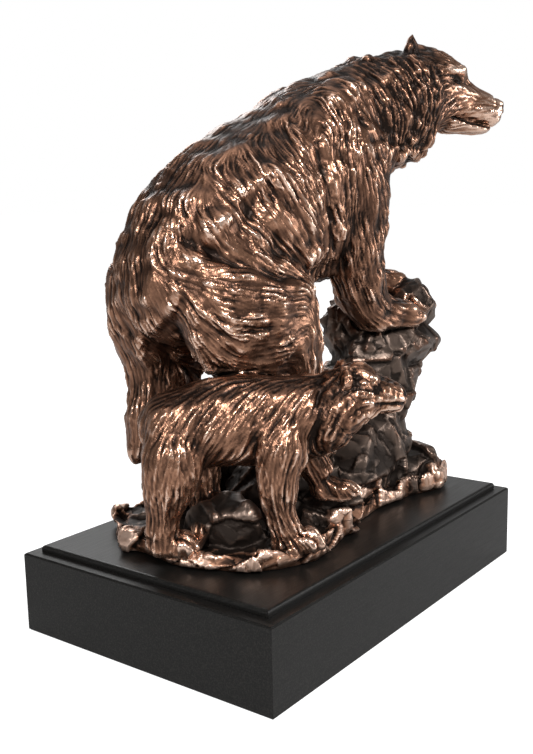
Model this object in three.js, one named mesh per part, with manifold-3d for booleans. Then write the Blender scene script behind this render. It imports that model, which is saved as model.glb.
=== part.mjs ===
// Statue of a bear with her forepaws up on a rock and her cub walking beside her, cast in one
// piece of bronzed resin with the broken ground they stand on, on a stepped black wooden plinth.
// Millimetres, +Z up. The origin is the middle of the plinth's underside. +X runs along the
// plinth's length towards the bear's head, and the cub walks on the -Y side.

import * as THREE from "three";
import { ConvexGeometry } from "three/addons/geometries/ConvexGeometry.js";
import { mergeVertices } from "three/addons/utils/BufferGeometryUtils.js";
import Module from "manifold-3d";

const wasm = await Module();
wasm.setup();

// Height of the casting from its seat to the bear's ear tips, and of the cub from sole to ear tip
const CASTING_HEIGHT = 252;
const CUB_HEIGHT = 83;

// The casting's tables below are written for these sizes, in millimetres over its seat
const TABLE_HEIGHT = 252;
const TABLE_CUB_HEIGHT = 83;
const TABLE_SLAB_LENGTH = 195;
const TABLE_SLAB_WIDTH = 119;
const scale = CASTING_HEIGHT / TABLE_HEIGHT;

// Sizes of the plinth, which stands out past the slab at its ends and sides
const PLINTH_END_BORDER = 18;
const PLINTH_SIDE_BORDER = 16;
const PLINTH_LENGTH = TABLE_SLAB_LENGTH * scale + 2 * PLINTH_END_BORDER;
const PLINTH_WIDTH = TABLE_SLAB_WIDTH * scale + 2 * PLINTH_SIDE_BORDER;
const PLINTH_SIDE_HEIGHT = 40;
const PLINTH_ARRIS = 0.8;
const STEP_LEDGE = 6.2;
const STEP_HEIGHT = 3.4;
const STEP_ROUND = 1.6;

// The casting stands on the plinth's raised step, this far over it
const SEAT_GAP = 0.3;

// A geometry as a solid that can be joined and cut
function solid(geometry) {
  const bare = new THREE.BufferGeometry();
  bare.setAttribute("position", geometry.getAttribute("position"));
  bare.setIndex(geometry.index);
  const merged = mergeVertices(bare, 1e-4);
  return new wasm.Manifold(
    new wasm.Mesh({
      numProp: 3,
      vertProperties: new Float32Array(merged.getAttribute("position").array),
      triVerts: new Uint32Array(merged.index.array),
    }),
  );
}

// A solid as a geometry
function geometryOf(piece) {
  const mesh = piece.getMesh();
  const position = new Float32Array(mesh.numVert * 3);
  for (let i = 0; i < mesh.numVert; i++) {
    position.set(mesh.vertProperties.subarray(i * mesh.numProp, i * mesh.numProp + 3), i * 3);
  }
  const geometry = new THREE.BufferGeometry();
  geometry.setAttribute("position", new THREE.BufferAttribute(position, 3));
  geometry.setIndex(new THREE.BufferAttribute(new Uint32Array(mesh.triVerts), 1));
  return geometry;
}

const join = (pieces) => pieces.reduce((whole, piece) => whole.add(piece));

// A piece and its reflection in the plane y = 0
const withMirror = (piece) => piece.add(piece.mirror([0, 1, 0]));

// Repeatable value from -1 to 1 for whole numbers
function hash(a, b, c) {
  const wave = Math.sin(a * 127.1 + b * 311.7 + c * 74.7) * 43758.5453;
  return 2 * (wave - Math.floor(wave)) - 1;
}

// A closed skin over rings of points, where each ring is an array of the same number of vectors
// that runs clockwise as seen from the last ring
function skin(rings) {
  const around = rings[0].length;
  const last = (rings.length - 1) * around;
  const position = rings.flat().flatMap((point) => point.toArray());
  const index = [];
  for (let a = 0; a < last; a++) {
    const b = a - (a % around) + ((a + 1) % around);
    index.push(a, a + around, b, b, a + around, b + around);
  }
  const middle = (ring) =>
    ring.reduce((sum, point) => sum.add(point), new THREE.Vector3()).divideScalar(around).toArray();
  position.push(...middle(rings[0]), ...middle(rings[rings.length - 1]));
  const first = position.length / 3 - 2;
  for (let j = 0; j < around; j++) {
    const next = (j + 1) % around;
    index.push(first, j, next);
    index.push(first + 1, last + next, last + j);
  }
  const geometry = new THREE.BufferGeometry();
  geometry.setAttribute("position", new THREE.Float32BufferAttribute(position, 3));
  geometry.setIndex(index);
  return solid(geometry);
}

// How far a lock of fur stands out at a ring and a spoke, from 0 to 1. Locks are two spokes wide,
// rise to their tips over a few rings and drop off there, and no two beside each other line up.
const RINGS_PER_LOCK = 4;
function lockHeight(ring, spoke) {
  if (spoke % 2) return 0;
  const offset = Math.round(RINGS_PER_LOCK * hash(spoke, 3, 1));
  const place = ring + offset + RINGS_PER_LOCK;
  const lock = Math.floor(place / RINGS_PER_LOCK);
  const rise = ((place % RINGS_PER_LOCK) + 1) / RINGS_PER_LOCK;
  return rise * (0.75 + 0.25 * hash(lock, spoke, 2));
}

// A limb, body or head: a closed skin of oval rings along a curve through its stations.
// A station is [x, y, z, side, top, under]: the middle of a ring, its half-width, and its reach
// above and below, where above is towards `up`. Locks of the height `fur` point to the last one.
function limb(stations, { around, rings, up = [0, 0, 1], fur = 0 }) {
  const curve = (values) =>
    new THREE.CatmullRomCurve3(values.map((v) => new THREE.Vector3(...v)), false, "catmullrom", 0.5);
  const spine = curve(stations.map((s) => s.slice(0, 3)));
  const girth = curve(stations.map((s) => s.slice(3)));
  const upward = new THREE.Vector3(...up);
  const hoops = [];
  for (let i = 0; i <= rings; i++) {
    const t = spine.getUtoTmapping(i / rings);
    const centre = spine.getPoint(t);
    const [side, top, under] = girth.getPoint(t).toArray();
    const along = spine.getTangent(t);
    const right = new THREE.Vector3().crossVectors(along, upward).normalize();
    const over = new THREE.Vector3().crossVectors(right, along);
    const hoop = [];
    for (let j = 0; j < around; j++) {
      const angle = (2 * Math.PI * j) / around;
      const coat = i > 0 && i < rings ? fur * lockHeight(i, j) : 0;
      const across = Math.cos(angle) * (side + coat);
      const rise = Math.sin(angle) * ((Math.sin(angle) > 0 ? top : under) + coat);
      hoop.push(centre.clone().addScaledVector(right, across).addScaledVector(over, rise));
    }
    hoops.push(hoop);
  }
  return skin(hoops);
}

// An egg-shaped mass
function mass([x, y, z], [rx, ry, rz], turn = [0, 0, 0], detail = 8) {
  const geometry = new THREE.SphereGeometry(1, detail, Math.ceil(detail * 0.7));
  geometry.scale(rx, ry, rz);
  geometry.applyMatrix4(
    new THREE.Matrix4().makeRotationFromEuler(
      new THREE.Euler(...turn.map(THREE.MathUtils.degToRad))));
  geometry.translate(x, y, z);
  return solid(geometry);
}

// A paw with four toes, with its heel at the given place, pointing along `heading`. Its outline
// is an oval whose front half is scalloped, sampled at each toe's middle and each gap.
const TOES = 4;
const PAW_RINGS = [[0.86, 0], [1, 0.3], [0.9, 0.72], [0.5, 1]];
function paw({ heel, heading, length, width, height }) {
  const outline = [];
  for (let k = 0; k <= 2 * TOES; k++) {
    const across = 1 - k / TOES;
    const scallop = k % 2 ? 1 : 0.82;
    outline.push([Math.sqrt(1 - 0.75 * across * across) * scallop, across * scallop]);
  }
  for (let angle = 225; angle >= 135; angle -= 45) {
    const radians = THREE.MathUtils.degToRad(angle);
    outline.push([Math.cos(radians), Math.sin(radians)]);
  }
  const rings = PAW_RINGS.map(([share, rise]) =>
    outline.map(([x, y]) => new THREE.Vector3(
      (length / 2) * (1 + x * share), (width / 2) * y * share, height * rise * (1 - 0.25 * x))));
  return skin(rings).rotate([0, 0, heading]).translate(heel);
}

// A leg from inside the body down to its paw
function leg({ stations, around, rings, fur, foot }) {
  return join([limb(stations, { around, rings, up: [1, 0, 0], fur }), paw(foot)]);
}

// The bear, facing +X
const bearBody = join([
  limb([
    [-131, 0, 102, 8, 10, 12],
    [-126, 0, 111, 24, 22, 30],
    [-113, 0, 128, 33, 34, 42],
    [-94, 0, 145, 37, 41, 47],
    [-71, 0, 160, 38, 41, 48],
    [-48, 0, 172, 37, 40, 54],
    [-27, 0, 184, 34, 40, 55],
    [-5, 0, 193, 29, 35, 35],
    [5, 0, 195, 17, 20, 20],
  ], { around: 24, rings: 21, fur: 3.4 }),
  // Neck and ruff
  limb([
    [-30, 0, 193, 24, 29, 30],
    [-14, 0, 199, 28, 31, 30],
    [2, 0, 205, 28, 29, 30],
    [16, -2, 211, 27, 29, 31],
    [28, -6, 216, 26, 27, 29],
    [38, -10, 219, 23, 22, 25],
    [44, -13, 220, 13, 12, 14],
  ], { around: 20, rings: 10, fur: 3.2 }),
  // Shoulder blades over the forelegs
  mass([-27, -17, 202], [22, 15, 24], [0, 30, 0], 9),
  mass([-18, 15, 202], [22, 15, 24], [0, 30, 0], 9),
  // Right knee
  mass([-76, -24, 107], [21, 18, 20], [0, 0, 0], 9),
]);

// The bear's head, facing +X, with its middle at the ears
const bearSkull = join([
  limb([
    [-10, 0, 217, 18, 18, 20],
    [-2, 0, 219, 22.5, 22, 25],
    [8, 0, 221, 22.5, 23, 25],
    [15, 0, 220, 20.5, 21.5, 23],
    [21, 0, 218, 17.5, 19, 18.5],
    [27, 0, 216, 14, 16, 14],
    [32, 0, 214.5, 11.8, 12, 10.5],
    [36, 0, 214, 10.8, 10.2, 10],
    [42, 0, 213, 9.8, 9, 9.5],
    [48, 0, 212, 9, 7, 8.5],
    [52, 0, 212, 7.5, 5.2, 6],
    [55, 0, 212.5, 5, 2.4, 2.5],
  ], { around: 16, rings: 14 }),
  // Lower jaw
  limb([
    [20, 0, 205, 12, 6, 6],
    [30, 0, 203, 10, 3.4, 4.4],
    [38, 0, 201.4, 8.5, 2.4, 3.2],
    [44, 0, 201.2, 7, 2, 2.6],
    [47.5, 0, 201.6, 3.5, 1.2, 1.5],
  ], { around: 8, rings: 6 }),
  withMirror(mass([-7, 15, 239.5], [4.5, 6.5, 12], [-12, -8, 0], 7)),
]);
const HEAD_TURN = -25;
const bearHead = bearSkull.rotate([0, 0, HEAD_TURN]).translate([38, -3, 0]);

const bearLegs = [
  // Right hind leg, stepping forward with its knee high
  {
    stations: [
      [-110, -12, 144, 18, 28, 26],
      [-101, -19, 125, 23, 42, 34],
      [-88, -24, 106, 22, 35, 36],
      [-77, -26, 89, 19, 23, 28],
      [-73, -26, 72, 15, 17, 18],
      [-72, -26, 56, 14, 15, 15],
      [-71, -26, 40, 14, 15, 15],
    ],
    around: 16, rings: 13, fur: 2.4,
    foot: { heel: [-88, -26, 34], heading: 0, length: 42, width: 28, height: 17 },
  },
  // Left hind leg, behind
  {
    stations: [
      [-108, 14, 136, 18, 28, 30],
      [-113, 22, 116, 23, 30, 29],
      [-112, 26, 98, 19, 24, 24],
      [-110, 26, 80, 15, 19, 20],
      [-113, 26, 62, 14, 16, 17],
      [-117, 26, 48, 13, 16, 17],
      [-117, 26, 40, 13, 15, 15],
    ],
    around: 14, rings: 11, fur: 2.4,
    foot: { heel: [-134, 26, 34], heading: 0, length: 42, width: 28, height: 17 },
  },
  // Right foreleg
  {
    stations: [
      [-28, -18, 202, 14, 22, 22],
      [-27, -23, 184, 16, 21, 22],
      [-24, -24, 164, 14.5, 18, 18],
      [-23, -23, 146, 13, 16, 16],
      [-19, -20, 127, 12, 14.5, 14],
      [-13, -18, 112, 12, 13, 13],
      [-6, -17, 104, 11, 11, 11],
    ],
    around: 14, rings: 11, fur: 2,
    foot: { heel: [-17, -17, 94], heading: 2, length: 49, width: 27, height: 17 },
  },
  // Left foreleg, reaching a little further
  {
    stations: [
      [-26, 18, 200, 12, 20, 20],
      [-21, 22, 182, 15, 19, 21],
      [-12, 22, 162, 14, 16, 17],
      [-2, 19, 144, 13, 14, 15],
      [10, 16, 129, 12, 13, 13],
      [19, 14, 121, 11, 11, 11],
    ],
    around: 12, rings: 10, fur: 2,
    foot: { heel: [6, 14, 110], heading: 0, length: 42, width: 26, height: 16 },
  },
];

const BEAR_TURN = -15;
const bear = join([bearBody, bearHead, ...bearLegs.map(leg)])
  .rotate([0, 0, BEAR_TURN])
  .translate([56, -10, 0]);

// The cub, facing +X, with its heights over its soles
const cubBody = join([
  limb([
    [-43, 0, 53, 5, 7, 8],
    [-40, 0, 54, 13, 13, 14],
    [-31, 0, 55, 17, 17, 18],
    [-16, 0, 56, 18, 20, 19],
    [0, 0, 58, 18, 21, 20],
    [14, 0, 58, 17, 21, 20],
    [27, 0, 60, 16, 19, 21],
    [38, 0, 62, 15, 17, 21],
    [47, 0, 64, 12, 13, 17],
  ], { around: 18, rings: 15, fur: 1.5 }),
  limb([
    [38, 0, 64, 12, 13, 14],
    [46, 0, 67, 15, 14, 17],
    [54, 0, 69.5, 14.5, 12.5, 14],
    [60, 0, 69.5, 13, 11, 10.5],
    [65, 0, 68.5, 9.8, 7.5, 8.4],
    [69, 0, 67.5, 8, 6.3, 7.6],
    [73, 0, 67.2, 7.2, 5.8, 6.6],
    [76.5, 0, 67.2, 5.8, 4.4, 5],
    [78.5, 0, 67.6, 3, 2.2, 2.2],
  ], { around: 12, rings: 11 }),
  withMirror(mass([50, 11, 78], [3.2, 5.5, 6.5], [-14, 0, 0], 6)),
]);

const cubPaw = (x, y, z) => ({ heel: [x, y, z], heading: 0, length: 25, width: 16, height: 10 });
const cubLegs = [
  // Right hind leg
  {
    stations: [
      [-27, -8, 56, 8, 12, 14],
      [-27, -12, 44, 11, 13, 16],
      [-30, -13, 32, 10, 11, 13],
      [-34, -13, 20, 8, 8, 8.5],
      [-36, -13, 8, 7, 7.5, 7],
    ],
    around: 12, rings: 9, fur: 0.9, foot: cubPaw(-43, -13, 0),
  },
  // Left hind leg
  {
    stations: [
      [-26, 8, 56, 8, 12, 14],
      [-22, 12, 44, 11, 13, 15],
      [-18, 13, 32, 10, 10, 11],
      [-16, 13, 20, 7, 7, 8],
      [-15, 13, 8, 6, 7, 7],
    ],
    around: 10, rings: 7, fur: 0.9, foot: cubPaw(-22, 13, 0),
  },
  // Right foreleg
  {
    stations: [
      [22, -8, 62, 8, 11, 12],
      [20, -12, 48, 10, 12, 12],
      [18, -13, 34, 9, 9.5, 9.5],
      [19, -13, 20, 8, 8, 8],
      [22, -13, 8, 7, 7.5, 7.5],
    ],
    around: 12, rings: 9, fur: 0.9, foot: cubPaw(13, -13, 0),
  },
  // Left foreleg, up on a stone
  {
    stations: [
      [26, 8, 58, 7, 10, 12],
      [29, 12, 46, 8, 10, 11],
      [34, 13, 36, 7, 8, 8],
      [41, 13, 27, 6, 7, 7],
    ],
    around: 10, rings: 7, fur: 0.9, foot: cubPaw(34, 13, 16),
  },
];

const CUB_TURN = -51;
const cub = join([cubBody, ...cubLegs.map(leg)])
  .scale(CUB_HEIGHT / TABLE_CUB_HEIGHT / scale)
  .rotate([0, 0, CUB_TURN])
  .translate([-65.3, -19.5, 6]);

// The broken edge of the ground slab, anticlockwise from the bear's side: [x, y, height of lip]
const slabEdge = [
  [98, -43, 11], [97, -18, 14], [94, 12, 12], [86, 38, 10], [58, 52, 9], [20, 60, 10], [-20, 61, 9],
  [-46, 61, 8], [-66, 61, 8], [-81, 50, 8], [-91, 32, 9], [-93, 16, 8], [-97, -5, 9], [-87, -31, 8],
  [-76, -47, 9], [-54, -56, 10], [-26, -51, 9], [2, -44, 9], [35, -40, 10], [60, -43, 11], [80, -50, 11],
];

// The slab: rings from the chipped edge up over its lip and in to the middle
function slab() {
  const edge = new THREE.CatmullRomCurve3(
    slabEdge.map(([x, y, lip]) => new THREE.Vector3(x, y, lip)), true, "catmullrom", 0.3);
  const spokes = 52;
  // How far each ring stands in from the edge and how high it is, as a share of the lip
  const profile = [[2.5, 0], [0, 0.35], [1.2, 1], [6, 0.72], [16, 0.8], [40, 0.95]];
  const rings = profile.map(([inset, rise], ring) => {
    const points = [];
    for (let j = 0; j < spokes; j++) {
      const { x, y, z } = edge.getPointAt(1 - j / spokes);
      const reach = Math.hypot(x, y);
      const chip = ring < 4 ? 1.8 * hash(j, ring, 5) : 0;
      const bump = ring > 0 ? 1.3 * hash(j, ring, 6) : 0;
      const share = Math.max(0.1, (reach - inset + chip) / reach);
      points.push(new THREE.Vector3(x * share, y * share, z * rise + bump));
    }
    return points;
  });
  return skin(rings);
}

// A rock: the flat-faced hull of points scattered over a ball
const ROCK_POINTS = 26;
function rock({ at, size, seed, turn = 0 }) {
  const points = [];
  for (let k = 0; k < ROCK_POINTS; k++) {
    const height = 1 - (2 * k + 1) / ROCK_POINTS;
    const angle = 2.4 * k + 0.5 * hash(seed, k, 1);
    const reach = 1 + 0.09 * hash(seed, k, 2);
    const across = reach * Math.sqrt(1 - height * height);
    points.push(new THREE.Vector3(
      across * Math.cos(angle), across * Math.sin(angle), reach * height));
  }
  return solid(mergeVertices(bareHull(points)))
    .scale(size).rotate([0, 0, turn]).translate(at);
}

// The hull of some points, with nothing but its corners' places
function bareHull(points) {
  const hull = new ConvexGeometry(points);
  hull.deleteAttribute("normal");
  return hull;
}

const rocks = [
  // The pillar under the bear's forepaws, with ledges
  { at: [60, -12, 26], size: [31, 27, 34], seed: 5, turn: -15 },
  { at: [65, -13, 64], size: [32, 26, 34], seed: 8, turn: 10 },
  { at: [71, -19, 83], size: [34, 22, 20], seed: 13, turn: -20 },
  { at: [98, -20, 102], size: [16, 17, 16], seed: 14, turn: -15 },
  { at: [68, -6, 92], size: [32, 24, 20], seed: 15, turn: -15 },
  // Under the bear's hind feet
  { at: [-28, 40, 14], size: [34, 22, 24], seed: 7, turn: -10 },
  { at: [-12, -8, 14], size: [36, 24, 24], seed: 9, turn: -20 },
  // Between the hind feet and the pillar, and the lifted edge beside it
  { at: [30, -14, 16], size: [36, 28, 30], seed: 11, turn: -10 },
  { at: [24, 20, 12], size: [42, 26, 26], seed: 21, turn: 0 },
  { at: [84, -30, 8], size: [22, 18, 15], seed: 23, turn: 20 },
  // Under the cub, and its stepping stone
  { at: [-66, -14, 12], size: [22, 15, 18], seed: 17, turn: -51 },
  { at: [-18, -38, 10], size: [20, 14, 15], seed: 19, turn: -51 },
];

// Everything in the casting, cut flat at its seat
const FAR = 600;
const underground = solid(new THREE.BoxGeometry(FAR, FAR, FAR)).translate([0, 0, -FAR / 2]);
const plinthTop = PLINTH_SIDE_HEIGHT + STEP_HEIGHT;
const casting = join([bear, cub, slab(), ...rocks.map(rock)])
  .subtract(underground)
  .scale(scale)
  .translate([0, 0, plinthTop + SEAT_GAP]);

// The plinth: square rings over its moulded side, whose corners are mitred
function plinth() {
  const roundSteps = 4;
  const side = [
    [PLINTH_ARRIS, 0],
    [0, PLINTH_ARRIS],
    [0, PLINTH_SIDE_HEIGHT - PLINTH_ARRIS],
    [PLINTH_ARRIS, PLINTH_SIDE_HEIGHT],
    [STEP_LEDGE, PLINTH_SIDE_HEIGHT],
  ];
  for (let k = 0; k <= roundSteps; k++) {
    const angle = (Math.PI / 2) * (k / roundSteps);
    side.push([
      STEP_LEDGE + STEP_ROUND * (1 - Math.cos(angle)),
      plinthTop - STEP_ROUND * (1 - Math.sin(angle)),
    ]);
  }
  const corners = [[1, 1], [1, -1], [-1, -1], [-1, 1]];
  return skin(side.map(([inset, z]) =>
    corners.map(([cx, cy]) => new THREE.Vector3(
      cx * (PLINTH_LENGTH / 2 - inset), cy * (PLINTH_WIDTH / 2 - inset), z))));
}

const bronze = new THREE.MeshStandardMaterial({ color: 0x8a5a3c, roughness: 0.35, metalness: 0.9 });
const blackWood = new THREE.MeshStandardMaterial({ color: 0x141312, roughness: 0.4, metalness: 0 });

const castingMesh = new THREE.Mesh(geometryOf(casting), bronze);
castingMesh.name = "bear_and_cub_casting";
const plinthMesh = new THREE.Mesh(geometryOf(plinth()), blackWood);
plinthMesh.name = "plinth";

const statue = new THREE.Group();
statue.add(plinthMesh, castingMesh);

export default statue;
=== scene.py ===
# A statue of a bear with her forepaws up on a rock and her cub walking beside her, cast in
# bronzed resin on a stepped black plinth, standing on a pale floor in soft studio light.

import math

import bmesh
import bpy
import numpy as np
from mathutils import Matrix, Vector
from mathutils.kdtree import KDTree


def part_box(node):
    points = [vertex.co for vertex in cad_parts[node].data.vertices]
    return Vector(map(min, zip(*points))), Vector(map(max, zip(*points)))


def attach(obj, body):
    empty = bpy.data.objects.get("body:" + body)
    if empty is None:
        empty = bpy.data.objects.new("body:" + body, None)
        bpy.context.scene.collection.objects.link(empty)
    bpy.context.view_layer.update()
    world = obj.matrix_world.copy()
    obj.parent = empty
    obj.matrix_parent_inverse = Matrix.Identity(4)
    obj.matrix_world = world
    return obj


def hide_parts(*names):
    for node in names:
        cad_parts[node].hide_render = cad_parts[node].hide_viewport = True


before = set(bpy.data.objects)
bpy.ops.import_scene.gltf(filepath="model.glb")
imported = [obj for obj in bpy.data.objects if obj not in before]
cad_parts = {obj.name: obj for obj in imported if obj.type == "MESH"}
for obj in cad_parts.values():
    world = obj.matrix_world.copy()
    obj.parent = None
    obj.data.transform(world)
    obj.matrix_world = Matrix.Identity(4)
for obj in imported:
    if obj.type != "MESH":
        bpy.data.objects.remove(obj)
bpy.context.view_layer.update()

MM = 0.001


# The casting
#
# One piece of cast resin, poured in a rubber mould with the bears, the rock pillar and the broken
# ground together. It is coated in copper, darkened in the hollows and rubbed bright on the ridges,
# and is glued down on the plinth through its flat underside.

# The carving is worked out in millimetres over the seat, for a casting of this height, and then
# fitted to the solid's own
CASTING = "bear_and_cub_casting"
TABLE_HEIGHT = 250.8
GRID = 0.72
WELD_GAP = 0.02

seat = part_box(CASTING)[0].z / MM
scale = (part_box(CASTING)[1].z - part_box(CASTING)[0].z) / MM / TABLE_HEIGHT


def turned(degrees, x, y, z=0.0):
    """A figure's own frame: turned about its upright and set down at a place over the seat."""
    return Matrix.Translation((x, y, z)) @ Matrix.Rotation(math.radians(degrees), 4, "Z")


def as_array(matrix):
    """A frame's turn and its place."""
    return np.array(matrix)[:3, :3], np.array(matrix)[:3, 3]


def into(matrix, points):
    """Points of the statue in a figure's own frame."""
    turn, shift = as_array(matrix)
    return (points - shift) @ turn


def out_of(matrix, vectors):
    """A figure's own directions as the statue's."""
    return vectors @ as_array(matrix)[0].T


BEAR = turned(-15, 56, -10)
BEAR_HEAD = BEAR @ turned(-25, 38, -3)
CUB = turned(-51, -65.3, -19.5, 6)


def unit(vectors):
    return vectors / np.maximum(np.linalg.norm(vectors, axis=-1, keepdims=True), 1e-9)


def smooth_step(low, high, value):
    """0 at low and beyond it, 1 at high and beyond it, and a soft slope between."""
    t = np.clip((value - low) / (high - low), 0, 1)
    return t * t * (3 - 2 * t)


def remeshed_casting():
    """The casting's solid as one even skin of small faces."""
    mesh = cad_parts[CASTING].data.copy()
    piece = bpy.data.objects.new("casting_blank", mesh)
    bpy.context.scene.collection.objects.link(piece)
    weld = piece.modifiers.new("weld", "WELD")
    weld.merge_threshold = WELD_GAP * MM
    remesh = piece.modifiers.new("remesh", "REMESH")
    remesh.mode = "VOXEL"
    remesh.voxel_size = GRID * MM
    graph = bpy.context.evaluated_depsgraph_get()
    skin = bpy.data.meshes.new_from_object(piece.evaluated_get(graph))
    bpy.data.objects.remove(piece)
    return skin


class Skin:
    """A mesh's corners in millimetres over the seat, with what the carving needs to know of them."""

    def __init__(self, mesh):
        self.mesh = mesh
        count = len(mesh.vertices)
        flat = np.empty(count * 3, np.float32)
        mesh.vertices.foreach_get("co", flat)
        self.at = (flat.reshape(-1, 3).astype(float) / MM - [0, 0, seat]) / scale
        edges = np.empty(len(mesh.edges) * 2, np.int32)
        mesh.edges.foreach_get("vertices", edges)
        self.edges = edges.reshape(-1, 2)
        self.degree = np.bincount(edges, minlength=count).astype(float)

    def average(self, values, times):
        """Values blended with their neighbours', a number of times."""
        if values.ndim > 1:
            return np.column_stack([self.average(column, times) for column in values.T])
        a, b = self.edges.T
        for _ in range(times):
            total = np.bincount(a, values[b], len(values))
            total += np.bincount(b, values[a], len(values))
            values = 0.4 * values + 0.6 * total / self.degree
        return values

    def write(self):
        """The corners' places, put back into the mesh."""
        self.mesh.vertices.foreach_set("co", ((self.at * scale + [0, 0, seat]) * MM).ravel())
        self.mesh.update()

    def normals(self):
        """Which way the surface faces at each corner."""
        self.write()
        flat = np.empty(len(self.at) * 3, np.float32)
        self.mesh.vertices.foreach_get("normal", flat)
        return flat.reshape(-1, 3).astype(float)


skin = Skin(remeshed_casting())

# Each limb as the middles of its rings and their reach, in its figure's own frame, for telling
# which part of the casting a point belongs to: bear, cub or rock
BEAR_LIMBS = [
    [(-131, 0, 102, 14), (-113, 0, 124, 40), (-94, 0, 142, 45), (-48, 0, 166, 49), (-5, 0, 190, 38)],
    [(-30, 0, 193, 31), (2, 0, 205, 31), (28, -6, 216, 30), (44, -13, 220, 26)],
    [(-110, -12, 144, 26), (-96, -21, 117, 37), (-77, -26, 89, 27), (-72, -26, 56, 17), (-68, -26, 42, 19)],
    [(-108, 14, 136, 28), (-112, 26, 98, 26), (-113, 26, 62, 18), (-113, 26, 42, 20)],
    [(-28, -18, 202, 22), (-24, -24, 164, 19), (-19, -20, 127, 16), (-6, -17, 104, 15)],
    [(-26, 18, 200, 20), (-12, 22, 162, 18), (10, 16, 129, 15), (22, 14, 119, 14)],
    [(-76, -24, 107, 23), (-78, -24, 108, 23)],
]
HEAD_LIMBS = [
    [(-10, 0, 217, 22), (8, 0, 221, 26), (27, 0, 216, 17), (40, 0, 213, 12.5), (54, 0, 212, 8)],
    [(20, 0, 205, 13), (46, 0, 201, 7)],
    [(-7, 15, 236, 9), (-7, 15, 246, 8)],
    [(-7, -15, 236, 9), (-7, -15, 246, 8)],
]
PAWS = [
    [(-80, -26, 40, 17), (-52, -26, 38, 15)],
    [(-126, 26, 40, 17), (-98, 26, 38, 15)],
    [(-12, -17, 100, 16), (22, -16, 99, 15)],
    [(10, 14, 116, 15), (38, 14, 115, 14)],
]
CUB_LIMBS = [
    [(-40, 0, 54, 14), (-16, 0, 56, 21), (14, 0, 58, 21), (47, 0, 64, 17)],
    [(38, 0, 64, 14), (50, 0, 68, 18), (60, 0, 69, 13), (70, 0, 67, 9), (77, 0, 67, 7)],
    [(-27, -8, 56, 14), (-30, -13, 32, 13), (-36, -13, 8, 9), (-25, -13, 4, 10)],
    [(-26, 8, 56, 14), (-18, 13, 32, 12), (-15, 13, 8, 8), (-4, 13, 4, 10)],
    [(22, -8, 62, 12), (18, -13, 34, 11), (22, -13, 8, 9), (32, -13, 4, 10)],
    [(26, 8, 58, 12), (34, 13, 36, 9), (44, 13, 24, 9), (54, 13, 20, 9)],
    [(50, 11, 78, 8), (50, 11, 84, 6)],
    [(50, -11, 78, 8), (50, -11, 84, 6)],
]

# The feet as they are carved: heel, heading, length and width of each
BEAR_PAWS = [
    ((-88, -26, 34), 0, 42, 28), ((-134, 26, 34), 0, 42, 28),
    ((-17, -17, 94), 2, 49, 27), ((6, 14, 107), 0, 42, 26),
]
CUB_PAWS = [
    ((-43, -13, 0), 0, 25, 16), ((-22, 13, 0), 0, 25, 16),
    ((13, -13, 0), 0, 25, 16), ((34, 13, 16), 0, 25, 16),
]


def above_soles(points, paws):
    """0 for points in the ground or rock under a paw, and 1 elsewhere."""
    above = np.ones(len(points))
    for heel, heading, length, width in paws:
        own = into(turned(heading, *heel), points)
        beside = (own[:, 0] > -0.7 * length) & (own[:, 0] < 1.4 * length)
        beside = beside & (np.abs(own[:, 1]) < 0.75 * width)
        above = np.where(beside, np.minimum(above, smooth_step(-1.5, 2.5, own[:, 2])), above)
    return above


def nearness(points, limbs):
    """For each point, how far out it is from the nearest limb's middle as a share of its reach,
    and that limb's number."""
    best = np.full(len(points), 99.0)
    which = np.zeros(len(points), int)
    for number, stations in enumerate(limbs):
        rings = np.array(stations, float)
        for start, end in zip(rings[:-1], rings[1:]):
            along = end[:3] - start[:3]
            t = np.clip((points - start[:3]) @ along / (along @ along), 0, 1)
            middle = start[:3] + t[:, None] * along
            reach = start[3] + t * (end[3] - start[3])
            share = np.linalg.norm(points - middle, axis=1) / reach
            closer = share < best
            best[closer] = share[closer]
            which[closer] = number
    return best, which


in_bear = into(BEAR, skin.at)
in_head = into(BEAR_HEAD, skin.at)
in_cub = into(CUB, skin.at)
bear_share, bear_limb = nearness(in_bear, BEAR_LIMBS + PAWS)
head_share = nearness(in_head, HEAD_LIMBS)[0]
cub_share = nearness(in_cub, CUB_LIMBS)[0]
head_mask = smooth_step(1.25, 1.02, head_share) * smooth_step(-6, 6, in_head[:, 0])
bear_mask = smooth_step(1.22, 1.06, np.minimum(bear_share, head_share))
bear_mask = bear_mask * above_soles(in_bear, BEAR_PAWS)
cub_mask = smooth_step(1.3, 1.1, cub_share) * (cub_share * 20 < bear_share * 24)
cub_mask = cub_mask * above_soles(in_cub, CUB_PAWS)
bear_mask = bear_mask * (1 - cub_mask)
rock_mask = skin.average(1 - np.maximum(bear_mask, cub_mask), 3)

# The blank's facets are blended away under the fur and hardly at all on the rock. The ruff's edge
# runs into the cheeks, in a band round the head, and the flat underside stays as it is.
FUR_BLEND = 14
ROCK_BLEND = 1
CHEEK_BLEND = 160
CHEEK_MIDDLE = 4
CHEEK_REACH = 11
UNDERSIDE = 0.7
ear = (in_head[:, 2] > 233) & (in_head[:, 0] < 2)
cheeks = np.exp(-((in_head[:, 0] - CHEEK_MIDDLE) / CHEEK_REACH) ** 2) * (head_share < 1.9) * ~ear
cheeks = skin.average(cheeks, 4)[:, None]
flat = skin.at[:, 2] < UNDERSIDE
form = skin.average(skin.at, FUR_BLEND) * (1 - rock_mask[:, None])
form = form + skin.average(skin.at, ROCK_BLEND) * rock_mask[:, None]
form = form * (1 - cheeks) + skin.average(form, CHEEK_BLEND) * cheeks
form[flat] = skin.at[flat]
skin.at = form

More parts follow.
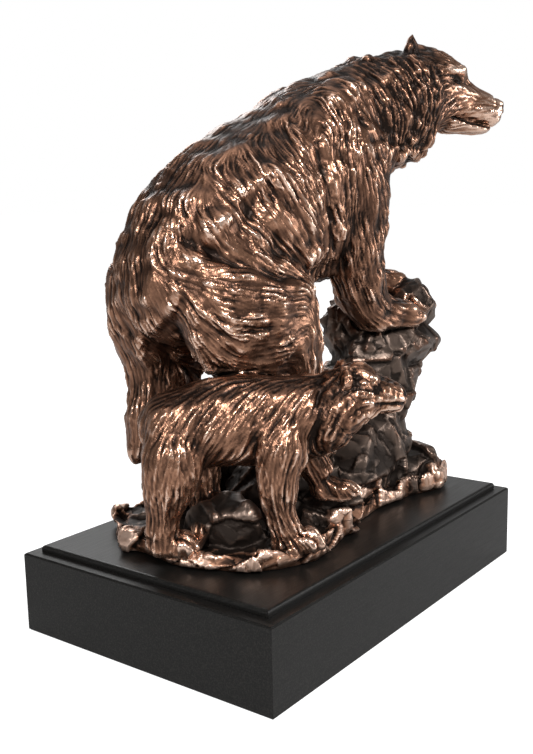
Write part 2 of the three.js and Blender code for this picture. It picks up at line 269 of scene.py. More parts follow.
# The ears are drawn to a point, and the far one leans forward over the brow
EAR_FOOT = 232
EAR_TIP = 251
EAR_LINE = -6.0
EAR_SPREAD = 15.5
FAR_EAR_FORWARD = 9
FAR_EAR_DOWN = 5
in_head = into(BEAR_HEAD, skin.at)
over_foot = smooth_step(EAR_FOOT, EAR_FOOT + 5, in_head[:, 2]) * smooth_step(8, 3, in_head[:, 0])
up_ear = smooth_step(EAR_FOOT + 3, EAR_TIP + 2, in_head[:, 2]) * over_foot
far_ear = over_foot * smooth_step(2, 8, in_head[:, 1])
moved = np.zeros_like(in_head)
moved[:, 0] = -0.6 * up_ear ** 2 * (in_head[:, 0] - EAR_LINE) + 2.0 * up_ear
moved[:, 0] += FAR_EAR_FORWARD * far_ear
moved[:, 1] = -0.4 * up_ear * (in_head[:, 1] - EAR_SPREAD * np.sign(in_head[:, 1]))
moved[:, 2] = -FAR_EAR_DOWN * far_ear
skin.at = skin.at + out_of(BEAR_HEAD, moved)
in_bear = into(BEAR, skin.at)
in_head = into(BEAR_HEAD, skin.at)
in_cub = into(CUB, skin.at)

# How the coat lies, as strokes seen from the side: x and z of a stroke's points, in the figure's
# own frame. Each figure's two sides lie alike.
BEAR_COAT = [
    [(-58, 196), (-56, 208), (-46, 216), (-36, 210), (-36, 198), (-44, 190)],
    [(-72, 160), (-60, 150), (-54, 140), (-60, 132)],
    [(-59, 216), (-96, 195), (-125, 171), (-144, 145), (-152, 120)],
    [(-99, 205), (-92, 182), (-76, 159), (-60, 141)],
    [(-119, 190), (-108, 170), (-89, 150), (-71, 137)],
    [(-135, 177), (-128, 158), (-112, 141), (-90, 131)],
    [(-140, 160), (-146, 140), (-140, 120)],
    [(-68, 222), (-49, 212), (-38, 187), (-37, 163), (-30, 138)],
    [(-77, 209), (-70, 191), (-59, 173), (-48, 152)],
    [(-31, 232), (-21, 215), (-11, 198), (-7, 180)],
    [(-10, 236), (0, 218), (6, 201), (4, 184)],
    [(-48, 225), (-31, 207), (-20, 193), (-14, 176)],
    [(10, 236), (20, 214), (18, 196), (12, 180)],
    [(-150, 140), (-136, 132), (-112, 128), (-84, 127)],
    [(-150, 120), (-140, 104), (-118, 92), (-94, 96), (-80, 104)],
    [(-148, 130), (-134, 117), (-112, 111), (-80, 116)],
    [(-62, 118), (-64, 97), (-66, 75), (-66, 50)],
    [(-119, 90), (-122, 65), (-127, 40)],
    [(-30, 138), (-24, 120), (-14, 104), (6, 98), (24, 98)],
    [(-20, 180), (-6, 160), (6, 140), (20, 122), (40, 116)],
]
CUB_COAT = [
    [(51, 86), (29, 83), (2, 82), (-20, 79), (-36, 70)],
    [(46, 78), (36, 62), (26, 46)],
    [(30, 76), (18, 60), (8, 46)],
    [(12, 76), (-2, 60), (-12, 46)],
    [(-6, 75), (-20, 59), (-28, 44)],
    [(-24, 72), (-36, 56), (-40, 42)],
    [(-30, 44), (-34, 30), (-36, 8)],
    [(22, 50), (18, 34), (18, 20), (26, 6)],
    [(-26, 50), (-18, 34), (-14, 8)],
    [(28, 52), (36, 40), (46, 24)],
    [(76, 72), (66, 74), (56, 80), (50, 80)],
]
HEAD_COAT = [
    [(54, 218), (38, 222), (24, 232), (8, 243), (-8, 243)],
    [(50, 208), (36, 210), (20, 212), (4, 206), (-4, 192)],
    [(40, 200), (24, 200), (8, 192), (-4, 182)],
    [(22, 226), (8, 226), (-6, 216)],
]


def stretches(points, stroke):
    """Each straight stretch of a stroke, with how far the points are from it, seen from the side."""
    corners = np.array(stroke, float)
    seen = points[:, [0, 2]]
    for start, end in zip(corners[:-1], corners[1:]):
        along = end - start
        t = np.clip((seen - start) @ along / (along @ along), 0, 1)
        yield along, np.linalg.norm(seen - (start + t[:, None] * along), axis=1)


def coat_direction(points, strokes):
    """The way the coat lies at each point, from the strokes near it, level with the side."""
    total = np.zeros((len(points), 3))
    for stroke in strokes:
        for along, gap in stretches(points, stroke):
            weight = np.linalg.norm(along) / (gap + 4) ** 4
            total[:, 0] += weight * along[0] / np.linalg.norm(along)
            total[:, 2] += weight * along[1] / np.linalg.norm(along)
    return unit(total)


# Broad forms under the fur, seen from the side: x and z of each bulge or hollow, its reach and its
# rise. Then the folds between muscles, each as its points, its reach and its depth.
BEAR_BULGES = [
    (-41, 210, 10, 3.2), (-55, 196, 13, 1.2), (-134, 130, 14, 2.4), (-116, 116, 16, 1.8),
    (-122, 163, 11, 1.8), (-98, 160, 9, -1.8), (-80, 170, 10, 1.8), (-68, 150, 9, 2.2),
    (-60, 137, 7, 1.4), (-33, 166, 8, 1.8), (-102, 190, 14, 1.0), (-66, 121, 8, 1.2),
    (-26, 136, 7, 1.0), (-88, 142, 8, -1.2),
]
BEAR_FOLDS = [
    ([(-130, 147), (-112, 136), (-92, 131), (-72, 127)], 3.4, 2.8),
    ([(-57, 190), (-53, 165), (-47, 140)], 3.6, 2.8),
    ([(-22, 232), (-12, 212), (-4, 190)], 3, 1.6),
    ([(-38, 226), (-29, 206), (-21, 184)], 3, 1.4),
    ([(-96, 182), (-80, 160), (-66, 143)], 2.8, 1.2),
    ([(-112, 178), (-100, 158), (-86, 144)], 2.8, 1.2),
    ([(-146, 118), (-124, 104), (-98, 106)], 2.6, 1.4),
]
CUB_BULGES = [
    (-32, 66, 8, 1.2), (-32, 52, 8, 1.0), (28, 70, 8, 1.4), (-4, 54, 9, 0.8), (16, 50, 6, 0.8),
    (44, 66, 8, 1.0), (-14, 66, 9, -0.8), (14, 66, 8, -0.8),
]
CUB_FOLDS = [
    ([(38, 80), (36, 66), (34, 50)], 2.4, 1.4),
    ([(-16, 62), (-20, 50), (-22, 42)], 2.4, 1.2),
    ([(8, 60), (8, 50), (10, 44)], 2.4, 1.1),
]

# Features of the faces, and of the cub's ankles and paws, alike on both sides: where each is, its
# reach each way and its rise. Then the line of the mouth, and how dark the eyes, nostrils and ear
# hollows are left, with a painted shadow under the bear's brow.
BEAR_FACE = [
    ((4, 0, 241), (9, 13, 12), 3.2),
    ((21.5, 17, 225.6), (5, 8, 2.8), -3.0), ((21.8, 16.5, 225.4), (2.0, 6, 1.4), 2.4),
    ((25, 10, 231.6), (4.5, 8, 2.8), 2.4), ((18, 15, 230.5), (6, 6, 2.0), 2.2),
    ((21, 15, 222.2), (4, 5, 1.3), 0.8), ((29.5, 7, 225.2), (3.6, 9, 3.0), -3.0),
    ((-20, 28, 186), (6, 7, 4), 3.6), ((-8, 22, 189), (4, 6, 3), 2.4), ((-31, 30, 179), (5, 7, 5), 3.6),
    ((10, 22, 219), (7, 8, 6), 1.8), ((12, 20, 208), (8, 8, 6), 1.6),
    ((42, 7, 209), (8, 4, 4), 1.6), ((47, 4, 206), (4, 6, 4), 2.2),
    ((52.5, 3, 213), (2.6, 5, 3.4), 1.4), ((53, 4.4, 212.6), (1.6, 2.2, 1.3), -2.6),
    ((48.5, 3, 218), (1.4, 6, 3), -1.0), ((54, 0, 208.5), (3, 8, 1.6), -1.4),
    ((33, 9, 215), (6, 4, 4), -1.4), ((-5.5, 19, 241), (2.4, 4, 7), -2.8),
]
BEAR_MOUTH = [([(20, 206.6), (27, 205.2), (35, 203.4), (46, 201.4)], 0.8, 1.0)]
BEAR_DARK = [
    # The eye, then a painted shadow under the brow; then the nostril, the nose and the ear hollow
    ((21.8, 17, 225.4), (1.8, 6, 1.2), 1.3), ((21, 17, 227.6), (4.5, 6, 0.9), 0.55),
    ((53, 4.4, 212.6), (1.7, 2.2, 1.3), 1.2), ((54, 0, 212.5), (2.6, 6, 3.4), 0.4),
    ((-5.5, 19, 241), (2.0, 4, 6), 0.35),
]
CUB_FACE = [
    ((63, 9, 73), (2.4, 5, 1.8), -1.2), ((63.2, 9, 72.8), (1.2, 4, 1.0), 1.0),
    ((61, 8, 77), (4, 5, 2), 1.0), ((69, 2, 73), (7, 7, 3.4), 1.5), ((72, 4, 66), (6, 5, 4), 1.8),
    ((67, 8, 68), (6, 4, 5), 1.8), ((76.5, 2.4, 69.4), (1.4, 1.5, 1.1), -1.0),
    ((54, 11, 80), (2.6, 2.6, 4.5), -1.6), ((58, 10, 65), (6, 7, 6), 3.0),
    ((48, 12, 62), (10, 8, 9), 4.6), ((57, 4, 81), (7, 7, 4), 2.4), ((42, 10, 54), (8, 8, 7), 3.4),
    ((-37, 14, 17), (8, 12, 7), -2.2), ((21, 14, 18), (9, 12, 7), -2.0), ((-30, 14, 40), (9, 9, 10), 1.6),
    ((-24, 13, 6), (7, 9, 4.5), 1.6), ((33, 13, 6), (7, 9, 4.5), 1.6),
]
CUB_MOUTH = [([(61, 67.2), (70, 66.2), (76, 65.2)], 0.9, 1.3)]
CUB_DARK = [
    ((63.2, 9, 72.8), (1.8, 4, 1.3), 1.2), ((76.5, 2.4, 69.4), (1.4, 1.6, 1.1), 1.1),
    ((54, 11, 80), (2, 3, 4), 0.9), ((78, 0, 69), (1.8, 3.5, 2), 0.5),
]


def bulged(points, places):
    """The rise of round bulges and hollows."""
    total = np.zeros(len(points))
    for x, z, reach, rise in places:
        gap = np.hypot(points[:, 0] - x, points[:, 2] - z)
        total += rise * np.exp(-((gap / reach) ** 2))
    return total


def folded(points, folds):
    """The rise of long folds, which is below 0."""
    total = np.zeros(len(points))
    for stroke, reach, depth in folds:
        nearest = np.min([gap for _, gap in stretches(points, stroke)], axis=0)
        total -= depth * np.exp(-((nearest / reach) ** 2))
    return total


def featured(points, features):
    """The rise of features that stand alike on both sides."""
    total = np.zeros(len(points))
    mirrored = np.column_stack([points[:, 0], np.abs(points[:, 1]), points[:, 2]])
    for place, reach, rise in features:
        total += rise * np.exp(-np.sum(((mirrored - place) / np.array(reach)) ** 2, axis=1))
    return total


def toed(points, paws):
    """Grooves between the four toes of each paw, and their claws and knuckles. Every size is a
    share of the paw's length or width."""
    total = np.zeros(len(points))
    for heel, heading, length, width in paws:
        own = into(turned(heading, *heel), points)
        forward = own[:, 0] / length
        across = own[:, 1]
        toe = width / 4
        front = smooth_step(0.5, 0.75, forward) * (np.abs(across) < width * 0.62)
        front = front * smooth_step(1.0, 0.75, own[:, 2] / (width * 0.85)) * (own[:, 2] > -2)
        for gap in (-toe, 0, toe):
            total -= width * 0.09 * front * np.exp(-(((across - gap) / (width * 0.055)) ** 2))
        for middle in (-1.45 * toe, -0.5 * toe, 0.5 * toe, 1.45 * toe):
            tip = length * (1.02 - 0.09 * abs(middle / toe))
            claw = (own - [tip, middle, width * 0.18]) / [width * 0.2, width * 0.05, width * 0.1]
            total += width * 0.11 * np.exp(-np.sum(claw ** 2, axis=1)) * (own[:, 2] > -2)
            knuckle = (own - [0.78 * tip, middle, width * 0.38]) / [width * 0.2, width * 0.11, width * 0.22]
            total += width * 0.08 * np.exp(-np.sum(knuckle ** 2, axis=1))
    return total


# The forms under the fur. Bulges and folds stand on the flanks, where the surface faces sideways.
normal = skin.normals()
flank = np.abs(into(BEAR, normal + as_array(BEAR)[1])[:, 1])
cub_flank = np.abs(into(CUB, normal + as_array(CUB)[1])[:, 1])
bear_muscles = bulged(in_bear, BEAR_BULGES) + folded(in_bear, BEAR_FOLDS)
form = bear_mask * (1 - head_mask) * flank * bear_muscles
form += bear_mask * (featured(in_head, BEAR_FACE) + toed(in_bear, BEAR_PAWS))
form += cub_mask * cub_flank * (bulged(in_cub, CUB_BULGES) + folded(in_cub, CUB_FOLDS))
form += cub_mask * (featured(in_cub, CUB_FACE) + toed(in_cub, CUB_PAWS))
bear_lips = folded(in_head, BEAR_MOUTH) * head_mask
cub_lips = folded(in_cub, CUB_MOUTH) * cub_mask
form += bear_lips + cub_lips
LIP_DARKNESS = 0.6
dark = bear_mask * featured(in_head, BEAR_DARK) + cub_mask * featured(in_cub, CUB_DARK)
dark = np.clip(dark - LIP_DARKNESS * bear_lips - LIP_DARKNESS * cub_lips, 0, 1)


def drifting(times, seed):
    """Smooth broad noise over the skin, with a usual height of 1."""
    noise = skin.average(np.random.default_rng(seed).normal(size=len(skin.at)), times)
    return noise / np.std(noise)


# The flanks swell and sink a little, and the coat is deep in patches and nearly smooth between
BEAR_SWELL = 0.55
CUB_SWELL = 0.25
lumps = drifting(140, 61)
patch = smooth_step(-0.9, 1.1, drifting(60, 62))
form += BEAR_SWELL * lumps * bear_mask * (1 - head_mask) + CUB_SWELL * lumps * cub_mask
skin.at = skin.at + normal * form[:, None]
normal = skin.normals()

# The coat's direction on each figure, hanging a little, laid on the surface and evened out
HANG = [0, 0, -0.12]
flow = out_of(BEAR, coat_direction(in_bear, BEAR_COAT))
head_flow = out_of(BEAR_HEAD, coat_direction(in_head, HEAD_COAT))
flow = flow * (1 - head_mask[:, None]) + head_flow * head_mask[:, None]
flow = np.where(cub_mask[:, None] > 0.5, out_of(CUB, coat_direction(in_cub, CUB_COAT)), flow)
flow = unit(flow + HANG)
flow = unit(flow - normal * np.sum(flow * normal, axis=1, keepdims=True))
flow = unit(skin.average(flow, 6))


def hashed(values, salt):
    """Repeatable values from 0 to 1 for whole numbers."""
    wave = np.sin(np.asarray(values) * 127.1 + salt * 311.7) * 43758.5453
    return wave - np.floor(wave)


def scattered(mask, gap, seed):
    """Numbers of corners picked at random where the mask is 1, at least about a gap apart."""
    order = np.random.default_rng(seed).permutation(np.flatnonzero(mask))
    cells = np.floor(skin.at[order] / gap).astype(int)
    _, first = np.unique(cells, axis=0, return_index=True)
    return order[np.sort(first)]


def tree_of(points):
    """The points as a tree, for finding the nearest of them."""
    tree = KDTree(len(points))
    for number, point in enumerate(points):
        tree.insert(point, number)
    tree.balance()
    return tree


# A lock's shape, in shares of its length: its middle, where it ends, and how it grows from its
# root. Then how much its sizes and its sideways curl differ from lock to lock.
LOCK_MIDDLE = 0.4
LOCK_END = 1.12
LOCK_POINT = 1.25
LOCK_LEAST_SIZE = 0.75
LOCK_SIZE_RANGE = 0.6
LOCK_CURL = 0.12


def locks(mask, gap, length, width, seed, strands=1.0, bend=0.3, near=10):
    """Locks of fur laid over each other. Gives each corner the height of the lock on top there,
    from 0 to 1, and the groove between its strands, from -1 to 1."""
    roots = scattered(mask, gap, seed)
    tree = tree_of(skin.at[roots] + flow[roots] * length * LOCK_MIDDLE)
    corners = np.flatnonzero(mask)
    found = np.zeros((len(corners), near), int)
    for row, point in enumerate(skin.at[corners]):
        hits = tree.find_n(point, near)
        for column in range(near):
            found[row, column] = hits[min(column, len(hits) - 1)][1]
    root = roots[found]
    size = LOCK_LEAST_SIZE + LOCK_SIZE_RANGE * hashed(found, seed + 1)
    curl = bend * (2 * hashed(found, seed + 2) - 1)
    lift = hashed(found, seed + 3)
    offset = skin.at[corners][:, None] - skin.at[root]
    along = np.sum(offset * flow[root], axis=2) / (length * size)
    across = np.cross(normal[root], flow[root])
    side = np.sum(offset * across, axis=2) / width
    side = side - curl * (along * length / width) ** 2 * LOCK_CURL
    taper = np.sqrt(np.clip(along, 0, 1)) * np.clip(LOCK_POINT - along, 0, 1) ** 0.6 * 1.25
    share = side / np.maximum(taper, 0.05)
    inside = (along > 0) & (along < LOCK_END) & (np.abs(share) < 1)
    dome = np.sqrt(np.clip(1 - share ** 2, 0, 1))
    rise = (0.3 + 0.5 * np.clip(along, 0, 1) + 0.2 * lift) * dome * smooth_step(LOCK_END, 0.95, along)
    rise = np.where(inside, rise, 0)
    top = np.argmax(rise, axis=1)
    rows = np.arange(len(corners))
    height = np.zeros(len(skin.at))
    groove = np.zeros(len(skin.at))
    height[corners] = rise[rows, top]
    chosen = share[rows, top] * strands + hashed(found[rows, top], seed + 4)
    groove[corners] = np.where(rise[rows, top] > 0, np.cos(math.pi * chosen), 0)
    return height, groove


# Where each kind of coat grows, and where shade is painted into the finish: the upward-facing back,
# the neck, the forelegs, the cub's ruff and the low ground are made darker. The pairs of numbers are
# places along or up a figure, between which each part fades in or out.
furry = (bear_mask + cub_mask) > 0.15
on_bear = furry & (bear_mask > 0.3)
on_cub = furry & (cub_mask > 0.3)
on_face = on_bear & (head_mask > 0.5) & (in_head[:, 0] > -4)
paw = skin.average(((bear_limb >= len(BEAR_LIMBS)) & (in_bear[:, 2] < 125)).astype(float), 6)
ears = smooth_step(235, 240, in_head[:, 2]) * smooth_step(12, 8, in_head[:, 0])
muzzle = head_mask * smooth_step(14, 34, in_head[:, 0])
face = head_mask * smooth_step(0, 16, in_head[:, 0])
neck = smooth_step(-24, 0, in_bear[:, 0]) * smooth_step(176, 190, in_bear[:, 2]) * (1 - face)
back = smooth_step(0.35, 0.9, normal[:, 2]) * (1 - head_mask)
deep = np.maximum(0.3 + 0.7 * patch, neck) * (1 - 0.8 * ears)
long_coat = bear_mask * (1 - face) * (1 - 0.8 * paw) * (1 - 0.6 * back) * deep
short_coat = bear_mask * (1 - 0.45 * muzzle) * (1 - 0.2 * paw) * (1 - 0.4 * back) * deep
cub_coat = cub_mask * (1 - 0.3 * smooth_step(62, 70, in_cub[:, 0])) * (0.5 + 0.5 * patch)
cub_head = smooth_step(28, 40, in_cub[:, 0]) * smooth_step(36, 46, in_cub[:, 2]) * cub_mask
cub_ruff = smooth_step(30, 38, in_cub[:, 0]) * smooth_step(60, 50, in_cub[:, 0]) * cub_mask
foreleg = smooth_step(-52, -36, in_bear[:, 0]) * smooth_step(188, 172, in_bear[:, 2]) * bear_mask
low_ground = rock_mask * smooth_step(40, 24, skin.at[:, 2])
# Painted shade, darker on the upward-facing back, the neck, the forelegs and the cub's ruff; the low ground
# above joins it further on
shade = np.max([1.1 * back, 1.35 * neck, 0.5 * foreleg, 1.2 * cub_ruff], axis=0)

# The locks, each kind with the gap between roots, the length, the half width and the seed
wisps, wisp_groove = locks(on_bear, 7.0, 30, 4.2, 11, strands=4.0, bend=0.5)
tufts = locks(on_bear, 4.4, 14, 1.9, 23)[0]
face_tufts = locks(on_face, 2.6, 7, 1.15, 71, bend=0.8, near=8)[0]
cub_tufts = locks(on_cub, 3.0, 9, 1.4, 37, bend=0.6)[0]


def combed(values, mask, step, steps):
    """Values blended along the way that the coat lies, a number of steps each way."""
    corners = np.flatnonzero(mask)
    tree = tree_of(skin.at[corners])
    before = values[corners]
    lie = flow[corners]
    total = before.copy()
    for way in (step, -step):
        place = skin.at[corners]
        nearest = np.arange(len(corners))
        for _ in range(steps):
            place = place + way * lie[nearest]
            nearest = np.array([tree.find(point)[1] for point in place])
            total += before[nearest]
    result = values.copy()
    result[corners] = total / (2 * steps + 1)
    return result


# The heights of the coat's parts, in millimetres
WISP_HEIGHT = 1.6
NECK_WISP_HEIGHT = 0.7
WISP_GROOVE = 0.2
TUFT_HEIGHT = 0.6
HAIR_HEIGHT = 0.45
FACE_TUFT_HEIGHT = 1.0
CUB_TUFT_HEIGHT = 0.8
CUB_HAIR_HEIGHT = 0.42
CUB_CURL_HEIGHT = 0.16
NECK_CLUMP_HEIGHT = 0.5
THROAT_CLUMP_HEIGHT = 0.9

# Fine hair is noise drawn out along the coat, the cub's head has curls, and the neck hangs in
# clumps. Eyes, nostrils and ear hollows stay bare.
HAIR_STEP = 1.1
HAIR_STEPS = 6
COMB_STEP = 0.8
strands = combed(drifting(1, 51), furry, HAIR_STEP, HAIR_STEPS)
strands = np.clip(strands / np.std(strands[furry]), -2, 2)
curls = np.clip(drifting(3, 53), -2, 2)
clumps = drifting(24, 63)
throat = smooth_step(200, 186, in_bear[:, 2])
bare = np.clip(2 * dark, 0, 1)
relief = long_coat * ((WISP_HEIGHT + NECK_WISP_HEIGHT * neck) * wisps + WISP_GROOVE * wisp_groove)
relief += short_coat * (1 - 0.8 * face) * TUFT_HEIGHT * tufts
relief += short_coat * HAIR_HEIGHT * strands
relief += FACE_TUFT_HEIGHT * face * (1 - 0.3 * muzzle) * (1 - ears) * (1 - bare) * face_tufts
relief += cub_coat * (CUB_TUFT_HEIGHT * cub_tufts + CUB_HAIR_HEIGHT * strands)
relief = combed(relief, furry, COMB_STEP, 1) + CUB_CURL_HEIGHT * cub_head * curls
relief += bear_mask * neck * (NECK_CLUMP_HEIGHT + THROAT_CLUMP_HEIGHT * throat) * clumps


def chipped(points, gap, seed):
    """Broken rock: flat facets of about the given width, as a height."""
    rng = np.random.default_rng(seed)
    low = points.min(0) - gap
    high = points.max(0) + gap
    count = int(np.prod((high - low) / gap) * 0.6)
    middles = rng.uniform(low, high, (count, 3))
    tilt = unit(rng.normal(size=(count, 3)))
    level = rng.uniform(-0.25, 0.25, count)
    tree = tree_of(middles)
    nearest = np.array([tree.find(point)[1] for point in points])
    offset = points - middles[nearest]
    return np.sum(offset * tilt[nearest], axis=1) / gap + level[nearest]


# The broken rim of the ground, found as its outermost part all the way round
RIM_TOP = 16
SECTORS = 120
low_edge = skin.at[:, 2] < RIM_TOP
turn_share = (np.arctan2(skin.at[:, 1], skin.at[:, 0]) / math.pi + 1) * SECTORS / 2
sector = np.floor(turn_share).astype(int)
reach = np.hypot(skin.at[:, 0], skin.at[:, 1])
outermost = np.zeros(sector.max() + 1)
np.maximum.at(outermost, sector[low_edge], reach[low_edge])
rim = rock_mask * low_edge * smooth_step(14, 5, outermost[sector] - reach)
rim = skin.average(rim, 3)

# The rock is worn and the rim is sharp. Each has large and small facets: their width, their height
# and their seed.
WORN_ROCK = [(18, 3.4, 5), (7, 0.9, 6)]
SHARP_RIM = [(13, 2.8, 7), (5, 0.5, 8)]
rocky = np.flatnonzero(rock_mask > 0.05)
worn = np.zeros(len(skin.at))
sharp = np.zeros(len(skin.at))
for width, rise, seed in WORN_ROCK:
    worn[rocky] += rise * chipped(skin.at[rocky], width, seed)
for width, rise, seed in SHARP_RIM:
    sharp[rocky] += rise * chipped(skin.at[rocky], width, seed)
rock_relief = skin.average(worn, 2) * (1 - rim) + sharp * rim

# Everything is raised at once, fading out at the flat underside
height = relief + rock_mask * rock_relief
edge_keep = smooth_step(0.4, 3, skin.at[:, 2])
skin.at = skin.at + normal * (height * edge_keep)[:, None]
skin.at[:, 2] = np.maximum(skin.at[:, 2], 0)


def standing_out(times):
    """From 0 in the hollows to 1 on what stands out most of the surface round it."""
    rise = np.sum((skin.at - skin.average(skin.at, times)) * normal, axis=1)
    return np.clip(0.5 + 0.2 * (rise / np.std(rise[furry])), 0, 1)


# What the finish and the painted shade follow: fine ridges, broad bulges, lighter as rubbed bronze and
# darker in broad hollows as painted shade, and the parts found above
skin.write()
finish_and_shade_values = {
    "ridge": standing_out(5),
    "bulge": standing_out(60),
    "rock": rock_mask,
    "rim": rim,
    "muzzle": muzzle,
    "strand": 0.5 + 0.25 * strands * (1 - 0.6 * back) * (1 - ears),
    "dark": dark,
    "shade": np.maximum(shade, 1.5 * low_ground * (1 - rim)),
}

# The casting is kept as four closed meshes that share its surface, so that each can be fine. Each
# one's edge is tucked a little way under its neighbours' surface, and closed inside them.
HEM_RINGS = 3
HEM_STEP = 0.5
HEM_START = 0.8
OUTSIDE = 99
FORE, CUB_SHARE, ROCK, HIND = range(4)
WAIST = -58
corner_loops = np.empty(len(skin.mesh.loops), np.int32)
skin.mesh.loops.foreach_get("vertex_index", corner_loops)
quads = corner_loops.reshape(-1, 4)
owner = np.argmax(np.column_stack([bear_mask, cub_mask, rock_mask]), axis=1)
owner[(owner == FORE) & (in_bear[:, 0] < WAIST)] = HIND


def share_of_casting(name, number, triangles):
    """One share of the skin with its hem, closed, and thinned to a number of triangles."""
    ring = np.where(owner == number, 0, OUTSIDE)
    a, b = skin.edges.T
    for depth in range(1, HEM_RINGS + 1):
        touched = np.zeros(len(ring), bool)
        touched[a[ring[b] < OUTSIDE]] = True
        touched[b[ring[a] < OUTSIDE]] = True
        ring[touched & (ring == OUTSIDE)] = depth
    kept = quads[np.all(ring[quads] < OUTSIDE, axis=1)]
    used, corners = np.unique(kept, return_inverse=True)
    depth = HEM_STEP * np.maximum(ring[used] - HEM_START, 0)
    sunk = skin.at[used] - normal[used] * depth[:, None]
    places = (sunk * scale + [0, 0, seat]) * MM
    mesh = bpy.data.meshes.new(name)
    mesh.from_pydata(places.tolist(), [], corners.reshape(-1, 4).tolist())
    for label, value in finish_and_shade_values.items():
        layer = mesh.attributes.new(label, "FLOAT", "POINT")
        layer.data.foreach_set("value", value[used].astype(np.float32))
    shell = bmesh.new()
    shell.from_mesh(mesh)
    borders = [edge for edge in shell.edges if edge.is_boundary]
    caps = bmesh.ops.holes_fill(shell, edges=borders, sides=0)["faces"]
    bmesh.ops.triangulate(shell, faces=caps)
    shell.to_mesh(mesh)
    shell.free()
    piece = bpy.data.objects.new(name, mesh)
    bpy.context.scene.collection.objects.link(piece)
    thin = piece.modifiers.new("thin", "DECIMATE")
    thin.ratio = min(1.0, triangles / (2 * len(kept)))
    thin.use_collapse_triangulate = True
    graph = bpy.context.evaluated_depsgraph_get()
    piece.data = bpy.data.meshes.new_from_object(piece.evaluated_get(graph))
    piece.modifiers.clear()
    piece.data.shade_smooth()
    return piece


shares = [
    share_of_casting("bear_forequarters", FORE, 196000),
    share_of_casting("bear_hindquarters", HIND, 196000),
    share_of_casting("cub", CUB_SHARE, 150000),
    share_of_casting("rock_and_ground", ROCK, 160000),
]


def shader_tree(name):
    """A new material with its tree and its surface shader."""
    material = bpy.data.materials.new(name)
    material.use_nodes = True
    tree = material.node_tree
    return material, tree, tree.nodes["Principled BSDF"]


def node(tree, kind, **settings):
    made = tree.nodes.new(kind)
    for key, value in settings.items():
        setattr(made, key, value)
    return made


def dialled(tree, kind, **values):
    """A node with some of its sockets set. A socket's name is written with _ for its spaces."""
    made = node(tree, kind)
    for name, value in values.items():
        made.inputs[name.replace("_", " ")].default_value = value
    return made


def ramp(tree, source, stops):
    """A colour that runs through the stops as the source rises."""
    made = tree.nodes.new("ShaderNodeValToRGB")
    while len(made.color_ramp.elements) < len(stops):
        made.color_ramp.elements.new(0.5)
    for element, (place, colour) in zip(made.color_ramp.elements, stops):
        element.position = place
        element.color = (*colour, 1)
    tree.links.new(source, made.inputs[0])
    return made.outputs[0]


def carved(tree, name):
    """A value that the carving left at the corners."""
    return node(tree, "ShaderNodeAttribute", attribute_name=name).outputs["Fac"]


def sum_of(tree, first, amount, second):
    """The second value and an amount of the first."""
    made = node(tree, "ShaderNodeMath", operation="MULTIPLY_ADD")
    tree.links.new(first, made.inputs[0])
    made.inputs[1].default_value = amount
    if isinstance(second, (int, float)):
        made.inputs[2].default_value = second
    else:
        tree.links.new(second, made.inputs[2])
    return made.outputs[0]


def mixed(tree, share, first, second):
    """The first colour where the share is 0 and the second where it is 1."""
    made = node(tree, "ShaderNodeMix", data_type="RGBA")
    tree.links.new(share, made.inputs["Factor"])
    tree.links.new(first, made.inputs["A"])
    tree.links.new(second, made.inputs["B"])
    return made.outputs["Result"]


def speckle_group():
    """Even noise on the object's own coordinates, for patina, grain and paint alike."""
    group = bpy.data.node_groups.new("speckle", "ShaderNodeTree")
    group.interface.new_socket("Scale", in_out="INPUT", socket_type="NodeSocketFloat")
    group.interface.new_socket("Detail", in_out="INPUT", socket_type="NodeSocketFloat")
    group.interface.new_socket("Amount", in_out="OUTPUT", socket_type="NodeSocketFloat")
    given = node(group, "NodeGroupInput")
    result = node(group, "NodeGroupOutput")
    place = node(group, "ShaderNodeTexCoord")
    noise = node(group, "ShaderNodeTexNoise")
    group.links.new(place.outputs["Object"], noise.inputs["Vector"])
    group.links.new(given.outputs["Scale"], noise.inputs["Scale"])
    group.links.new(given.outputs["Detail"], noise.inputs["Detail"])
    group.links.new(noise.outputs["Fac"], result.inputs["Amount"])
    return group


SPECKLE = speckle_group()


def speckle(tree, scale, detail):
    made = node(tree, "ShaderNodeGroup", node_tree=SPECKLE)
    made.inputs["Scale"].default_value = scale
    made.inputs["Detail"].default_value = detail
    return made.outputs["Amount"]


# The finish from the hollows to the rubbed ridges, and the stone's colours; painted shade takes the low
# ground between the feet to the stone's darkest colour
HOLLOW = (0.016, 0.0095, 0.007)
BROWN = (0.125, 0.062, 0.039)
COPPER = (0.37, 0.19, 0.118)
RUBBED = (0.86, 0.60, 0.47)
STONE_HOLLOW_AND_SHADE = (0.03, 0.022, 0.018)
STONE = (0.165, 0.118, 0.094)

# The tones at which the finish passes from one colour to the next
FUR_STOPS = [(0.34, HOLLOW), (0.5, BROWN), (0.7, COPPER), (0.92, RUBBED)]
STONE_STOPS = [(0.38, STONE_HOLLOW_AND_SHADE), (0.72, STONE), (1.0, BROWN)]
RIM_STOPS = [(0.38, HOLLOW), (0.48, BROWN), (0.64, COPPER), (0.94, RUBBED)]

# How much each carved value lightens or darkens the tone, over its start
TONE_START = -0.06
# The shade value is painted shade, bulge darkens broad hollows as painted shade, and dark includes a
# painted shadow under the bear's brow
TONE_OF = {"ridge": 0.46, "bulge": 0.5, "muzzle": 0.14, "shade": -0.15, "dark": -0.6}
PATINA = (45, 4)
PATINA_TONE = 0.22

# Gloss from the dark tones to the rubbed ones, and how much duller the stone is
DARK_ROUGHNESS = 0.42
RUBBED_ROUGHNESS = 0.2
STONE_ROUGHNESS = 0.12


